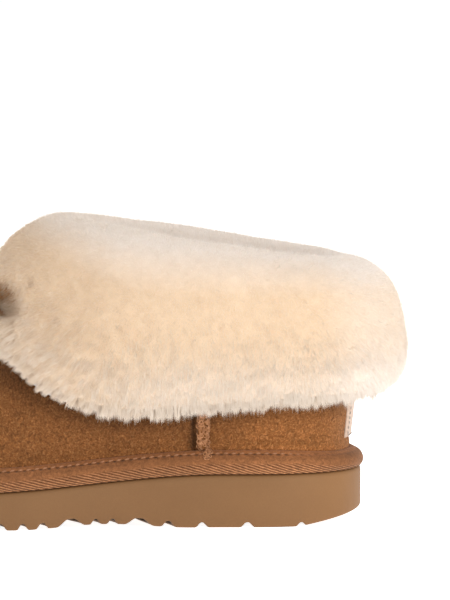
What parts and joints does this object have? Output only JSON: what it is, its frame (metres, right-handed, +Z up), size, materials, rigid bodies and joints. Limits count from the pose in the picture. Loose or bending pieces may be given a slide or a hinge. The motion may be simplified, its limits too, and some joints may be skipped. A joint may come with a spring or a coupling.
{
  "type": "ankle boot",
  "caption": "Pull-on suede ankle boot on a thick moulded sole, with a taped binding and a deep fur cuff turned down over the shaft.",
  "frame": {"origin": "on the floor, under the middle of the boot's box", "axes": "+X towards the toe, +Y towards the outer side of the left foot, +Z up"},
  "size_m": [0.2862, 0.1288, 0.1362],
  "materials": {
    "sole_foam": "tan moulded foam, matt with a faint moulded grain",
    "fleece": "cream clipped fleece",
    "twill_tape": "brown diagonal twill tape, top-stitched",
    "suede": "chestnut suede with a short speckled nap",
    "label_cloth": "pale woven cloth, blank",
    "fur": "cream long-pile fur, soft and dense"
  },
  "bodies": {
    "root": {"outsole": "sole_foam", "insole": "fleece", "binding": "twill_tape", "upper": "suede", "side_seam_outer": "suede", "side_seam_inner": "suede", "heel_label": "label_cloth", "fur_cuff": "fur"}
  },
  "joints": []
}
